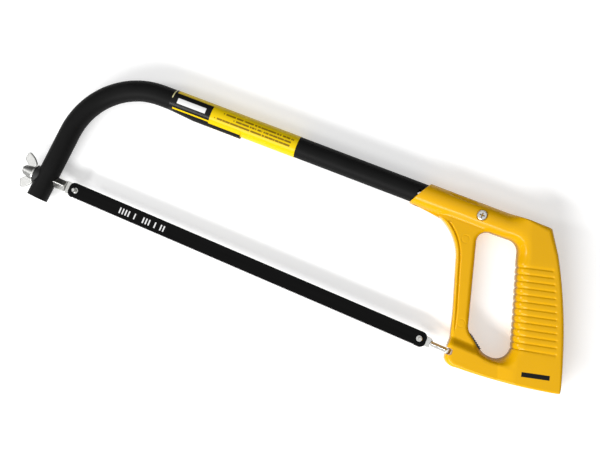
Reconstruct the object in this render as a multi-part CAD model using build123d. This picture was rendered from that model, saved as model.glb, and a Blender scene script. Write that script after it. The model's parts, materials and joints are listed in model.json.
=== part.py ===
"""Tubular-frame hacksaw with a cast D-handle, in millimetres.

The saw lies on its side. +X runs along the blade from the wing nut to the handle,
+Y runs from the blade to the frame tube, and +Z is the saw's thickness.
The model is built about the front blade hole, at the middle of the thickness,
and is then moved so that the origin is the bottom centre of its bounding box.
"""
from build123d import *
from math import cos, radians, sin, tan
import os

# Blade
HOLE_SPACING = 300.0
BLADE_OVERHANG = 5.6
BLADE_WIDTH = 12.3
BLADE_THICKNESS = 0.65
BLADE_HOLE_RADIUS = 2.4
BLADE_END_ROUNDING = 4.6
BLADE_SEAT_GAP = 0.1

# Blade pins
PIN_RADIUS = 1.6
PIN_SEAT_RADIUS = 1.4
PIN_SEAT_TOP = 0.95
PIN_FREE_HEIGHT = 3.6
PIN_DEPTH = 3.0
PIN_PLAY = 0.05
PIN_CHAMFER = 0.4
PIN_OFFSET = BLADE_HOLE_RADIUS - PIN_RADIUS - PIN_PLAY

# Frame tube
TUBE_RADIUS = 8.6
TUBE_WALL = 1.5
LEG_LEAN = 3.1
TOP_RISE = 1.5
BEND_RADIUS = 60.0
LEG_FROM_PIN = 25.6
LEG_BELOW_BOLT = 17.4
SEAM_X = 107.0
SEAM_GAP = 0.3
TUBE_END_X = 313.2

# Bead pressed along the underside of the front tube, up to the seam
BEAD_RADIUS = 7.6
BEAD_DROP = 2.8
BEAD_START_X = 40.0
BEAD_FULL_X = 66.0
BEAD_START_DROP = 0.6

# Neck of the rear tube, which plugs into the front tube
NECK_LENGTH = 36.0
NECK_CLEARANCE = 0.1

# Label
LABEL_START_X = 44.6
LABEL_END_X = 153.5
LABEL_THICKNESS = 0.25

# Retaining screw and the two length settings of the frame
SCREW_X = 307.5
SETTING_STEP = 50.0
SCREW_AXIS_Y = 105.8
SCREW_RADIUS = 2.5
SCREW_HEAD_RADIUS = 3.9
SCREW_HEAD_HEIGHT = 1.8
SLOT_LENGTH = 4.2
SLOT_WIDTH = 0.9
SCREW_SEAT = 9.3
SCREW_RECESS_RADIUS = 4.7
SCREW_HOLE_CLEARANCE = 0.1
NUT_ACROSS_FLATS = 8.0
NUT_THICKNESS = 2.6
NUT_SEAT = 9.2

# Blade tensioner
SHANK_FLATS = 6.4
SHANK_CLEARANCE = 0.1
BOLT_RADIUS = 3.0
BOLT_TAIL = 46.9
SHANK_START = 8.0
SHANK_END = 30.8
HEAD_WIDTH = 10.0
HEAD_THICKNESS = 4.2
HEAD_REACH = 4.6
HEAD_LENGTH = 8.4
SADDLE_RADIUS = 7.2
SADDLE_END = 35.2
SADDLE_GAP = 0.02
WASHER_RADIUS = 7.6
WASHER_THICKNESS = 1.2
THREAD_CLEARANCE = 0.08
NUT_GAP = 0.05
WING_NUT_BASE_RADIUS = 5.6
WING_NUT_TOP_RADIUS = 3.9
WING_NUT_HEIGHT = 9.4
WING_THICKNESS = 2.2
WING_FOOT = 8.4
WING_BELLY = (12.6, 3.4)
WING_TIP = (15.8, 9.4)
WING_KNEE = (9.0, 11.2)
WING_THROAT = (3.8, 5.6)
WING_TURN = -20.0
WING_TIP_ROUNDING = 1.8

# Rear blade link
LINK_FLATS = 3.0
LINK_HEAD_WIDTH = 8.4
LINK_HEAD_THICKNESS = 3.4
LINK_HEAD_REACH = 4.0
LINK_HEAD_LENGTH = 10.4
LINK_BAR_START = 8.4
LINK_EYE_X = 323.8
LINK_EYE_RADIUS = 2.0
LINK_PIN_RADIUS = 1.1
LINK_PIN_TOP = 6.6
LINK_PIN_BOTTOM = -5.6
NOTCH_START_X = 317.0
NOTCH_END_X = 326.5
NOTCH_HALF_WIDTH = 2.6

# Cast handle
WEB_HALF = 7.0
WEB_ROUNDING = 2.6
GRIP_HALF = 13.0
GRIP_ROUNDING = 7.5
BASE_HALF = 10.5
BASE_ROUNDING = 1.5
SOCKET_RADIUS = 10.3
SOCKET_CLEARANCE = 0.08
SOCKET_BACK_X = 362.0
BORE_END_GAP = 0.6
MOUTH_TOP = (262.8, 115.4)
MOUTH_BOTTOM = (252.2, 94.8)
TOP_BACK = (360.6, 116.6)
BACK_KNEE = (372.8, 99.5)
BACK_MIDDLE = (396.4, 51.0)
BACK_FOOT = (412.4, 3.2)
BOTTOM_MIDDLE = (376.9, -4.4)
NOSE_BOTTOM = (330.4, -9.6)
NOSE_CORNER = (322.2, -6.4)
NOSE_TOP = (320.8, 10.6)
STRUT_LOW = (314.9, 30.6)
STRUT_HIGH = (302.0, 67.2)
STRUT_CURVE = (289.0, 85.6)
STRUT_END = (264.9, 95.6)
GRIP_INNER_TOP = (335.4, 116.2)
GRIP_INNER_CORNER = (342.4, 92.4)
GRIP_INNER_FOOT = (374.6, -4.7)
BASE_NOSE_TOP = (327.4, 11.6)
BASE_PAD_TOP = (333.6, 19.8)
BASE_FRONT = (349.0, 9.2)
BASE_BACK = (366.0, 8.8)
BASE_END = (407.0, 15.6)
OPENING_CORNERS = [(308.4, 95.2), (340.6, 96.0), (370.4, 7.8), (348.6, 8.8), (331.4, 20.8)]
OPENING_ROUNDINGS = [8.0, 9.0, 11.0, 12.0, 10.0]

# Ribbed pad let into the low front corner of the hand opening
PAD_CENTRE = (339.6, 14.6)
PAD_ANGLE = -35.0
PAD_LENGTH = 13.4
PAD_DEPTH = 5.2
PAD_PROUD = 1.0
PAD_HALF_WIDTH = 5.0
PAD_RIB_COUNT = 7
PAD_RIB_HEIGHT = 0.5

FROM_BASE = (Align.CENTER, Align.CENTER, Align.MIN)
FRONT_PIN = Vector(-PIN_OFFSET, 0, 0)
REAR_PIN = Vector(HOLE_SPACING + PIN_OFFSET, 0, 0)
LEG_UP = Vector(sin(radians(LEG_LEAN)), cos(radians(LEG_LEAN)), 0)
OUTWARD = Vector(-1, 0, 0)
TOP_BACKWARD = Vector(cos(radians(TOP_RISE)), sin(radians(TOP_RISE)), 0)
TOP_DOWN = Vector(sin(radians(TOP_RISE)), -cos(radians(TOP_RISE)), 0)
UP = Vector(0, 0, 1)


def on_top_axis(x):
    """Point of the frame tube's upper axis at a distance along the blade."""
    return Vector(x, SCREW_AXIS_Y + (x - SCREW_X) * tan(radians(TOP_RISE)), 0)


def bow_corner():
    """Point where the axes of the leg and of the upper run cross."""
    leg_point = FRONT_PIN + OUTWARD * LEG_FROM_PIN
    gap = on_top_axis(0) - leg_point
    spread = LEG_UP.X * TOP_BACKWARD.Y - LEG_UP.Y * TOP_BACKWARD.X
    return leg_point + LEG_UP * ((gap.X * TOP_BACKWARD.Y - gap.Y * TOP_BACKWARD.X) / spread)


def rod(start, direction, radius, length):
    """Round bar from a point along a direction."""
    return Plane(origin=start, z_dir=direction) * Cylinder(radius, length, align=FROM_BASE)


def tensioner_place(distance):
    """Plane square to the tension bolt, at a distance outward from the front pin."""
    return Plane(origin=FRONT_PIN + OUTWARD * distance, x_dir=UP, z_dir=OUTWARD)


def bow_sweep(radius):
    """Round bar bent like the front of the frame."""
    leg_foot = FRONT_PIN + OUTWARD * LEG_FROM_PIN - LEG_UP * LEG_BELOW_BOLT
    path = FilletPolyline(leg_foot, bow_corner(), on_top_axis(SEAM_X), radius=BEND_RADIUS)
    return sweep(Plane(origin=leg_foot, z_dir=LEG_UP) * Circle(radius), path=path)


def below_axis(x, drop):
    """Point of the saw's plane under the frame tube's upper axis."""
    return on_top_axis(x) + TOP_DOWN * drop


def bead(radius):
    """Swelling of the front tube's underside: a slanted run-in, then straight to the seam."""
    start = below_axis(BEAD_START_X, BEAD_START_DROP)
    knee = below_axis(BEAD_FULL_X, BEAD_DROP)
    run_in = knee - start
    swelling = rod(start, run_in, radius, run_in.length) + Pos(knee) * Sphere(radius)
    return swelling + rod(knee, TOP_BACKWARD, radius, SEAM_X - BEAD_FULL_X)


def square_bar(across_flats, start, end):
    """Square bar of the tensioner, standing on its corner."""
    outline = Rectangle(across_flats, across_flats).rotate(Axis.Z, 45)
    return extrude(tensioner_place(start) * outline, amount=end - start)


def front_bow():
    """Bent front tube with its bead, the square hole and the round bolt hole."""
    tube = bow_sweep(TUBE_RADIUS) + bead(BEAD_RADIUS)
    tube -= bow_sweep(TUBE_RADIUS - TUBE_WALL)
    tube -= bead(BEAD_RADIUS - TUBE_WALL)
    tube -= square_bar(SHANK_FLATS + 2 * SHANK_CLEARANCE, 0, LEG_FROM_PIN)
    bolt_hole = rod(FRONT_PIN, OUTWARD, BOLT_RADIUS + SHANK_CLEARANCE, 2 * LEG_FROM_PIN)
    return tube - bolt_hole


def rear_tube():
    """Straight rear tube with its neck and the holes of both length settings."""
    inner_radius = TUBE_RADIUS - TUBE_WALL
    neck_start = SEAM_X - NECK_LENGTH
    neck_radius = inner_radius - NECK_CLEARANCE
    shoulder = SEAM_X + SEAM_GAP
    tube = rod(on_top_axis(shoulder), TOP_BACKWARD, TUBE_RADIUS, TUBE_END_X - shoulder)
    tube += rod(on_top_axis(neck_start), TOP_BACKWARD, neck_radius, NECK_LENGTH + TUBE_WALL)
    key_radius = BEAD_RADIUS - TUBE_WALL - NECK_CLEARANCE
    tube += rod(below_axis(neck_start, BEAD_DROP), TOP_BACKWARD, key_radius, NECK_LENGTH - SEAM_GAP)
    tube -= rod(on_top_axis(shoulder + TUBE_WALL), TOP_BACKWARD, inner_radius, TUBE_END_X)
    tube -= rod(on_top_axis(neck_start), TOP_BACKWARD, neck_radius - TUBE_WALL, TUBE_END_X)
    for x in (SCREW_X, SCREW_X - SETTING_STEP):
        hole_start = on_top_axis(x) - UP * SOCKET_RADIUS
        tube -= rod(hole_start, UP, SCREW_RADIUS + SCREW_HOLE_CLEARANCE, 2 * SOCKET_RADIUS)
    return tube


def frame_label():
    """Film wrapped round the tube, open along the bead."""
    length = LABEL_END_X - LABEL_START_X
    start = on_top_axis(LABEL_START_X)
    wrap = rod(start, TOP_BACKWARD, TUBE_RADIUS + LABEL_THICKNESS, length)
    wrap -= rod(start, TOP_BACKWARD, TUBE_RADIUS, length)
    return wrap - bead(BEAD_RADIUS)


def blade():
    """Flat blade with round ends and two pin holes."""
    length = HOLE_SPACING + 2 * BLADE_OVERHANG
    outline = RectangleRounded(length, BLADE_WIDTH, BLADE_END_ROUNDING)
    for side in (-1, 1):
        outline -= Pos(side * HOLE_SPACING / 2, 0) * Circle(BLADE_HOLE_RADIUS)
    return Pos(HOLE_SPACING / 2, 0, BLADE_SEAT_GAP) * extrude(outline, amount=BLADE_THICKNESS)


def blade_pin(centre):
    """Pin that the blade hooks over."""
    seat = rod(centre - UP * PIN_DEPTH, UP, PIN_SEAT_RADIUS, PIN_DEPTH + PIN_SEAT_TOP)
    pin = seat + rod(centre + UP * PIN_SEAT_TOP, UP, PIN_RADIUS, PIN_FREE_HEIGHT - PIN_SEAT_TOP)
    return chamfer(pin.edges().group_by(Axis.Z)[-1], PIN_CHAMFER)


def pin_hole(centre):
    """Blind hole that a blade pin is pressed into."""
    return rod(centre - UP * PIN_DEPTH, UP, PIN_SEAT_RADIUS, PIN_DEPTH)


def tension_bolt():
    """Square bar with a flat head for the blade and a threaded tail."""
    bolt = square_bar(SHANK_FLATS, SHANK_START, SHANK_END)
    bolt += rod(FRONT_PIN + OUTWARD * SHANK_END, OUTWARD, BOLT_RADIUS, BOLT_TAIL - SHANK_END)
    bolt += Pos(FRONT_PIN) * extrude(head_outline(), amount=-HEAD_THICKNESS)
    return bolt - pin_hole(FRONT_PIN)


def head_outline():
    """Side view of the bolt's flat head, round in front and square where it joins the bar."""
    round_centre = HEAD_REACH - HEAD_WIDTH / 2
    square_part = Rectangle(HEAD_LENGTH + round_centre, HEAD_WIDTH, align=(Align.MIN, Align.CENTER))
    return Pos(-HEAD_LENGTH, 0) * square_part + Pos(round_centre, 0) * Circle(HEAD_WIDTH / 2)


def saddle_washer():
    """Collar between the tube and the washer, hollowed to sit on the tube."""
    collar = rod(FRONT_PIN + OUTWARD * LEG_FROM_PIN, OUTWARD, SADDLE_RADIUS, SADDLE_END - LEG_FROM_PIN)
    collar -= rod(FRONT_PIN, OUTWARD, BOLT_RADIUS + SHANK_CLEARANCE, BOLT_TAIL)
    leg_start = FRONT_PIN + OUTWARD * LEG_FROM_PIN - LEG_UP * BEND_RADIUS
    return collar - rod(leg_start, LEG_UP, TUBE_RADIUS + SADDLE_GAP, 2 * BEND_RADIUS)


def plain_washer():
    """Flat washer under the wing nut."""
    start = FRONT_PIN + OUTWARD * SADDLE_END
    disc = rod(start, OUTWARD, WASHER_RADIUS, WASHER_THICKNESS)
    return disc - rod(start, OUTWARD, BOLT_RADIUS + SHANK_CLEARANCE, WASHER_THICKNESS)


def wing_outline():
    """Side view of both wings, with the nut's axis along the local Y."""
    middle = (0, WING_NUT_HEIGHT / 2)
    root = (0, NUT_GAP)
    foot = (WING_FOOT, NUT_GAP)
    straight_sides = Polyline(WING_TIP, WING_KNEE, WING_THROAT, middle, root, foot)
    wing = make_face([straight_sides, ThreePointArc(foot, WING_BELLY, WING_TIP)])
    tips = wing.vertices().sort_by(Axis.Y)[-2:]
    wing = fillet(tips, WING_TIP_ROUNDING)
    return wing + mirror(wing, about=Plane.YZ)


def wing_nut():
    """Nut with two wings that spread outward."""
    start = SADDLE_END + WASHER_THICKNESS + NUT_GAP
    hub = Cone(WING_NUT_BASE_RADIUS, WING_NUT_TOP_RADIUS, WING_NUT_HEIGHT, align=FROM_BASE)
    wings = Rot(90, 0, 0) * extrude(wing_outline(), amount=WING_THICKNESS / 2, both=True)
    body = Rot(0, 0, 90 + WING_TURN) * (hub + wings)
    body -= Cylinder(BOLT_RADIUS + THREAD_CLEARANCE, 4 * WING_NUT_HEIGHT)
    return tensioner_place(start) * body


def rear_link():
    """Square bar with a flat head for the blade and an eye for the handle pin."""
    bar_start = REAR_PIN.X + LINK_BAR_START
    outline = Rectangle(LINK_FLATS, LINK_FLATS).rotate(Axis.Z, 45)
    bar_place = Plane(origin=(bar_start, 0, 0), z_dir=(1, 0, 0))
    link = extrude(bar_place * outline, amount=LINK_EYE_X - bar_start)
    eye_start = Vector(LINK_EYE_X, -LINK_EYE_RADIUS, 0)
    link += rod(eye_start, Vector(0, 1, 0), LINK_EYE_RADIUS, 2 * LINK_EYE_RADIUS)
    head_outline = SlotOverall(LINK_HEAD_LENGTH + LINK_HEAD_REACH, LINK_HEAD_WIDTH)
    head_centre = REAR_PIN + Vector((LINK_HEAD_LENGTH - LINK_HEAD_REACH) / 2, 0, 0)
    link += Pos(head_centre) * extrude(head_outline, amount=-LINK_HEAD_THICKNESS)
    link -= link_pin()
    return link - pin_hole(REAR_PIN)


def link_pin():
    """Cross pin that holds the rear link in the handle's nose."""
    start = Vector(LINK_EYE_X, LINK_PIN_BOTTOM, 0)
    return rod(start, Vector(0, 1, 0), LINK_PIN_RADIUS, LINK_PIN_TOP - LINK_PIN_BOTTOM)


def handle_outline():
    """Side view of the whole handle without its opening."""
    with BuildSketch() as view:
        with BuildLine():
            Polyline(STRUT_END, MOUTH_BOTTOM, MOUTH_TOP, TOP_BACK, BACK_KNEE)
            ThreePointArc(BACK_KNEE, BACK_MIDDLE, BACK_FOOT)
            ThreePointArc(BACK_FOOT, BOTTOM_MIDDLE, NOSE_BOTTOM)
            Polyline(NOSE_BOTTOM, NOSE_CORNER, NOSE_TOP, STRUT_LOW, STRUT_HIGH)
            ThreePointArc(STRUT_HIGH, STRUT_CURVE, STRUT_END)
        make_face()
    return view.sketch


def opening_outline():
    """Side view of the hand opening."""
    return make_face(FilletPolyline(*OPENING_CORNERS, radius=OPENING_ROUNDINGS, close=True))


def slab(outline, half_thickness, rounding):
    """Plate in the saw's plane, with both rims rounded."""
    body = extrude(outline, amount=half_thickness, both=True)
    rims = body.faces().filter_by(Axis.Z).edges()
    return fillet(rims, rounding)


def grip_outline():
    """Side view of the thick grip behind the opening."""
    with BuildSketch() as view:
        with BuildLine():
            Polyline(BACK_KNEE, TOP_BACK, GRIP_INNER_TOP, GRIP_INNER_CORNER, GRIP_INNER_FOOT, BACK_FOOT)
            ThreePointArc(BACK_KNEE, BACK_MIDDLE, BACK_FOOT)
        make_face()
    return view.sketch


def base_outline():
    """Side view of the bar below the opening."""
    with BuildSketch() as view:
        with BuildLine():
            ThreePointArc(BACK_FOOT, BOTTOM_MIDDLE, NOSE_BOTTOM)
            Polyline(NOSE_BOTTOM, BASE_NOSE_TOP, BASE_PAD_TOP, BASE_FRONT, BASE_BACK, BASE_END, BACK_FOOT)
        make_face()
    return view.sketch


def pad_block(length, depth, half_width):
    """Block lying along the slanted low corner of the hand opening."""
    block = Box(length, depth, 2 * half_width, align=(Align.CENTER, Align.MAX, Align.CENTER))
    return Pos(*PAD_CENTRE) * Rot(0, 0, PAD_ANGLE) * Pos(0, PAD_PROUD) * block


def handle_casting():
    """Cast D-handle with the frame socket, the nose notch and the pad's pocket."""
    casting = slab(handle_outline() - opening_outline(), WEB_HALF, WEB_ROUNDING)
    casting += slab(grip_outline(), GRIP_HALF, GRIP_ROUNDING)
    casting += slab(base_outline(), BASE_HALF, BASE_ROUNDING)
    mouth_x = MOUTH_BOTTOM[0]
    casting += rod(on_top_axis(mouth_x), TOP_BACKWARD, SOCKET_RADIUS, SOCKET_BACK_X - mouth_x)
    casting -= extrude(mouth_outline(), amount=2 * GRIP_HALF, both=True)
    casting -= extrude(opening_outline(), amount=2 * GRIP_HALF, both=True)
    bore_start = on_top_axis(mouth_x - BORE_END_GAP)
    bore_length = TUBE_END_X + SETTING_STEP + BORE_END_GAP - mouth_x
    casting -= rod(bore_start, TOP_BACKWARD, TUBE_RADIUS + SOCKET_CLEARANCE, bore_length)
    casting -= screw_passage()
    notch_sizes = (NOTCH_END_X - NOTCH_START_X, 2 * NOTCH_HALF_WIDTH, 2 * BASE_HALF)
    notch = Box(*notch_sizes, align=(Align.MIN, Align.CENTER, Align.CENTER))
    casting -= Pos(NOTCH_START_X, 0, 0) * notch
    casting -= link_pin()
    return casting - pad_block(PAD_LENGTH, PAD_DEPTH, PAD_HALF_WIDTH)


def mouth_outline():
    """Everything in front of the slanted mouth of the socket."""
    in_front = MOUTH_BOTTOM[0] - 2 * SOCKET_RADIUS
    corners = [MOUTH_TOP, MOUTH_BOTTOM, (in_front, MOUTH_BOTTOM[1]), (in_front, MOUTH_TOP[1])]
    return make_face(Polyline(*corners, MOUTH_TOP))


def screw_passage():
    """Hole, head recess and nut pocket for the retaining screw."""
    centre = on_top_axis(SCREW_X)
    hole = rod(centre - UP * GRIP_HALF, UP, SCREW_RADIUS + SCREW_HOLE_CLEARANCE, 2 * GRIP_HALF)
    recess = rod(centre + UP * SCREW_SEAT, UP, SCREW_RECESS_RADIUS, GRIP_HALF)
    return hole + recess + nut_prism(SOCKET_RADIUS)


def nut_prism(length):
    """Hexagon of the retaining nut, from its seat towards the far side."""
    hexagon = RegularPolygon(NUT_ACROSS_FLATS / 2, 6, major_radius=False)
    seat = on_top_axis(SCREW_X) - UP * NUT_SEAT
    return Pos(seat) * extrude(hexagon, amount=-length)


def retaining_screw():
    """Cross-head screw that sets the frame's length."""
    centre = on_top_axis(SCREW_X)
    tip = NUT_SEAT + NUT_THICKNESS
    screw = rod(centre - UP * tip, UP, SCREW_RADIUS, tip + SCREW_SEAT)
    head = rod(centre + UP * SCREW_SEAT, UP, SCREW_HEAD_RADIUS, SCREW_HEAD_HEIGHT)
    screw += fillet(head.edges().group_by(Axis.Z)[-1], SCREW_HEAD_HEIGHT / 2)
    for turn in (0, 90):
        slot = Box(SLOT_LENGTH, SLOT_WIDTH, SCREW_HEAD_HEIGHT, align=FROM_BASE)
        screw -= Pos(centre + UP * (SCREW_SEAT + SCREW_HEAD_HEIGHT / 3)) * Rot(0, 0, turn) * slot
    return screw


def retaining_nut():
    """Nut on the retaining screw, set in the far side of the handle."""
    thread = rod(on_top_axis(SCREW_X) - UP * GRIP_HALF, UP, SCREW_RADIUS, GRIP_HALF)
    return nut_prism(NUT_THICKNESS) - thread


def corner_pad():
    """Ribbed pad let into the low front corner of the hand opening."""
    pad = pad_block(PAD_LENGTH, PAD_DEPTH, PAD_HALF_WIDTH)
    pitch = PAD_LENGTH / PAD_RIB_COUNT
    place = Pos(*PAD_CENTRE) * Rot(0, 0, PAD_ANGLE)
    for number in range(PAD_RIB_COUNT):
        groove = Box(pitch / 2, 2 * PAD_RIB_HEIGHT, 2 * PAD_HALF_WIDTH)
        along = (number + 0.5) * pitch - PAD_LENGTH / 2
        pad -= place * Pos(along, PAD_PROUD) * groove
    return pad


def build_saw():
    """All pieces by node name, before they are moved to the origin."""
    return {
        "handle_casting": handle_casting(),
        "front_bow_tube": front_bow(),
        "rear_frame_tube": rear_tube(),
        "frame_label": frame_label(),
        "retaining_screw": retaining_screw(),
        "retaining_nut": retaining_nut(),
        "tension_bolt": tension_bolt(),
        "front_blade_pin": blade_pin(FRONT_PIN),
        "saddle_washer": saddle_washer(),
        "plain_washer": plain_washer(),
        "wing_nut": wing_nut(),
        "saw_blade": blade(),
        "rear_blade_link": rear_link(),
        "rear_blade_pin": blade_pin(REAR_PIN),
        "link_cross_pin": link_pin(),
        "corner_pad": corner_pad(),
    }


def origin_shift(pieces):
    """Move that puts the bottom centre of the whole saw at the origin."""
    box = Compound(list(pieces.values())).bounding_box()
    return Pos(-box.center().X, -box.center().Y, -box.min.Z)


def main():
    """Write one STEP file for each piece."""
    os.makedirs("parts", exist_ok=True)
    pieces = build_saw()
    shift = origin_shift(pieces)
    for name, piece in pieces.items():
        export_step(shift * piece, f"parts/{name}.step")


main()
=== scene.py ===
"""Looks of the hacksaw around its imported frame. Lengths are in millimetres in the saw's own frame."""
import bmesh
import bpy
import json
import math
import numpy as np
from mathutils import Matrix, Vector


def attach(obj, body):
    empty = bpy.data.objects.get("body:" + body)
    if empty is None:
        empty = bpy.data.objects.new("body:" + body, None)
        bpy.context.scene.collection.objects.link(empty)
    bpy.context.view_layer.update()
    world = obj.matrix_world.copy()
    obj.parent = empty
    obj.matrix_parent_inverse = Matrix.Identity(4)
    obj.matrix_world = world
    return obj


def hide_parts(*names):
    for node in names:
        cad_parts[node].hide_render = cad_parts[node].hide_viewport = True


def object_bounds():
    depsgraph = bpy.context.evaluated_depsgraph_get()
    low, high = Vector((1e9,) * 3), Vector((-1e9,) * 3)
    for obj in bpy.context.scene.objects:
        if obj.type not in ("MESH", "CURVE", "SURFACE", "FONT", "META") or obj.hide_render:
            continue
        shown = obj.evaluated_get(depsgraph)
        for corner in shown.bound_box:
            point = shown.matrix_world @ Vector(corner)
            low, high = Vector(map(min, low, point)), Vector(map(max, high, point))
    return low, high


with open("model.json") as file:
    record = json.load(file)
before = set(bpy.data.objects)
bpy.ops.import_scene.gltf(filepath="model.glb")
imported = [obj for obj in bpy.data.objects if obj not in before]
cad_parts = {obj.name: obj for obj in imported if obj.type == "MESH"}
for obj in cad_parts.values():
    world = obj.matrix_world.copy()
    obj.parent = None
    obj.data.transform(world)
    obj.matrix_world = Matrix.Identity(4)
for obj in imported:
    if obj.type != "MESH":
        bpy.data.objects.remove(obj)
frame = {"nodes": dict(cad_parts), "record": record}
cad_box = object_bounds()

MM = 0.001
HALF_THICKNESS = 0.5 * (cad_box[1][2] - cad_box[0][2])
PINS = [m["pos_m"] for m in frame["record"]["mounts"] if m["kind"] == "pin"]
# The tight pins pull outward on the blade, so each sits this far from the centre of its hole
PIN_OFFSET = 0.75 * MM
ORIGIN = Vector((PINS[0][0] + PIN_OFFSET, PINS[0][1], HALF_THICKNESS))

# Frame tube's upper axis
TOP_RISE = math.radians(1.5)
SCREW = (307.5, 105.8)

# Handle, side view. Each station pairs a point of the hand opening's edge with one of the outer edge,
# and gives the rounding radius of both edges there.
STATIONS = {
    "mouth_low": ((309.4, 91.5), (252.4, 94.8), 3.4, 0.4),
    "mouth_high": ((311.6, 94.8), (262.8, 115.0), 3.4, 0.4),
    "top_front": ((315.6, 95.9), (300.0, 115.9), 3.2, 0.4),
    "top_middle": ((328.0, 96.6), (331.0, 116.5), 3.2, 0.4),
    "top_back": ((337.6, 93.4), (360.2, 117.0), 6.5, 4.5),
    "knee": ((341.4, 88.2), (372.4, 100.0), 9.0, 3.4),
    "first_groove": ((344.2, 78.9), (379.4, 89.1), 10.0, 3.0),
    "last_groove": ((364.5, 20.7), (404.4, 31.0), 10.0, 3.0),
    "foot": ((364.8, 14.0), (412.1, 3.4), 9.0, 1.6),
    "bottom_back": ((357.6, 9.3), (385.0, -3.2), 6.5, 1.8),
    "bottom_middle": ((349.6, 9.0), (352.0, -7.6), 6.0, 1.8),
    "nose_bottom": ((343.6, 11.8), (331.6, -9.5), 4.5, 3.0),
    "nose_corner": ((339.4, 14.8), (323.2, -6.6), 3.2, 5.5),
    "nose_top": ((333.4, 20.0), (320.8, 10.6), 3.2, 3.5),
    "strut_low": ((329.2, 30.0), (314.9, 30.6), 3.8, 1.8),
    "strut_high": ((317.4, 67.0), (302.0, 67.2), 3.8, 1.8),
    "strut_curve": ((310.6, 86.6), (289.0, 85.6), 3.6, 1.8),
}
OPENING_CORNERS = [(308.4, 96.2), (340.6, 97.3), (370.4, 7.8), (348.6, 8.8), (331.4, 20.8)]
OPENING_ROUNDINGS = [8.0, 9.0, 11.0, 12.0, 10.0]
GRID_STEP = 0.6
GROOVE_GRID_STEP = 0.33
GRID_ACROSS = 66
GRID_WALL = 6
LOOP_STEP = 0.2
SOCKET_RADIUS = 10.3
BORE_RADIUS = 8.68
WEB_HALF = 6.2
BASE_HALF = 10.5
GRIP_HALF = 12.9
GROOVE_COUNT = 13
GROOVE_DEPTH = 0.7
GROOVE_END_GAP = 5.4
EJECTOR_MARKS = [(303.1, 84.6), (324.4, 23.6)]
BORE_START_X = 249.0
BORE_END_X = 363.8
SCREW_SEAT = 9.3
SCREW_HEAD_RADIUS = 4.7
SCREW_HOLE_RADIUS = 2.6
NUT_CORNER_RADIUS = 4.6
NOTCH_CENTRE = (321.5, 0.0, 0.0)
NOTCH_SIZES = (10.0, 5.2, 30.0)
LINK_PIN_FOOT = (323.8, -5.6, 0.0)
LINK_PIN_RADIUS = 1.1
LINK_PIN_LENGTH = 12.2
PAD_TURN = math.radians(-35.0)
PAD_DEPTH = 1.6
PAD_CENTRE = (339.6 + PAD_DEPTH * math.sin(PAD_TURN), 14.6 - PAD_DEPTH * math.cos(PAD_TURN), 0.0)
PAD_SIZES = (13.4, 5.2, 10.0)

# Lines in the side view, each from start to end, where the handle's thickness changes
GRIP_FRONT = ((322.0, 100.0), (362.0, 4.0))
GRIP_SHOULDER = ((333.0, 120.0), (344.0, 92.0))
GRIP_HEEL = ((364.0, 20.0), (372.0, -4.0))

# Blade
HOLE_SPACING = 300.0
BLADE_OVERHANG = 5.6
BLADE_WIDTH = 12.3
BLADE_THICKNESS = 0.65
BLADE_SEAT_GAP = 0.1
BLADE_HOLE_RADIUS = 2.4
BLADE_END_ROUNDING = 4.6
TEETH_PER_INCH = 24
TOOTH_DEPTH = 0.7
WAVE_HEIGHT = 0.13
WAVE_LENGTH = 7.4

# Bolt thread, a coarse M6
THREAD_START_X = -36.5
THREAD_END_X = -46.6
THREAD_RADIUS = 3.0
THREAD_DEPTH = 0.35
THREAD_PITCH = 1.0

# Printed film and other marks. Rows give a height over the tube's axis and where the row starts.
SEAM_X = 107.4
PANEL_START_X = 48.0
PANEL_END_X = 80.0
SMALL_PRINT_ROWS = ((3.0, 89.5), (0.2, 99.0), (-2.6, 83.5))
SMALL_PRINT_END_X = 150.0
LOWER_PIPING = (-7.4, -6.4)
UPPER_PIPING = 5.5
BADGE_X = (50.5, 75.0)
BADGE_SIDE = (-2.6, 1.8)
HANDLE_BAR_CENTRE = (389.6, 8.4)
HANDLE_BAR_SIZE = (21.0, 3.6)
HANDLE_BAR_LEAN = math.radians(15.4)
STROKE_GROUPS = ((40.0, 50.4), (53.6, 56.0), (60.8, 68.4), (71.6, 74.0), (76.8, 82.0))
STROKE_PITCH = 2.6
STROKE_ROWS = (-2.6, 2.2)

# Colours, linear
YELLOW = (0.85, 0.45, 0.001)
LABEL_YELLOW = (0.86, 0.6, 0.0)
# Painted shade: the brown that darkens the handle's upright faces
SHADE_BROWN = (0.16, 0.07, 0.0)
PRINT_BROWN = (0.09, 0.035, 0.005)


def at(x, y, z=0.0):
    """Row-frame point, in metres, of a point in the saw's frame."""
    return ORIGIN + Vector((x, y, z)) * MM


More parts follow.
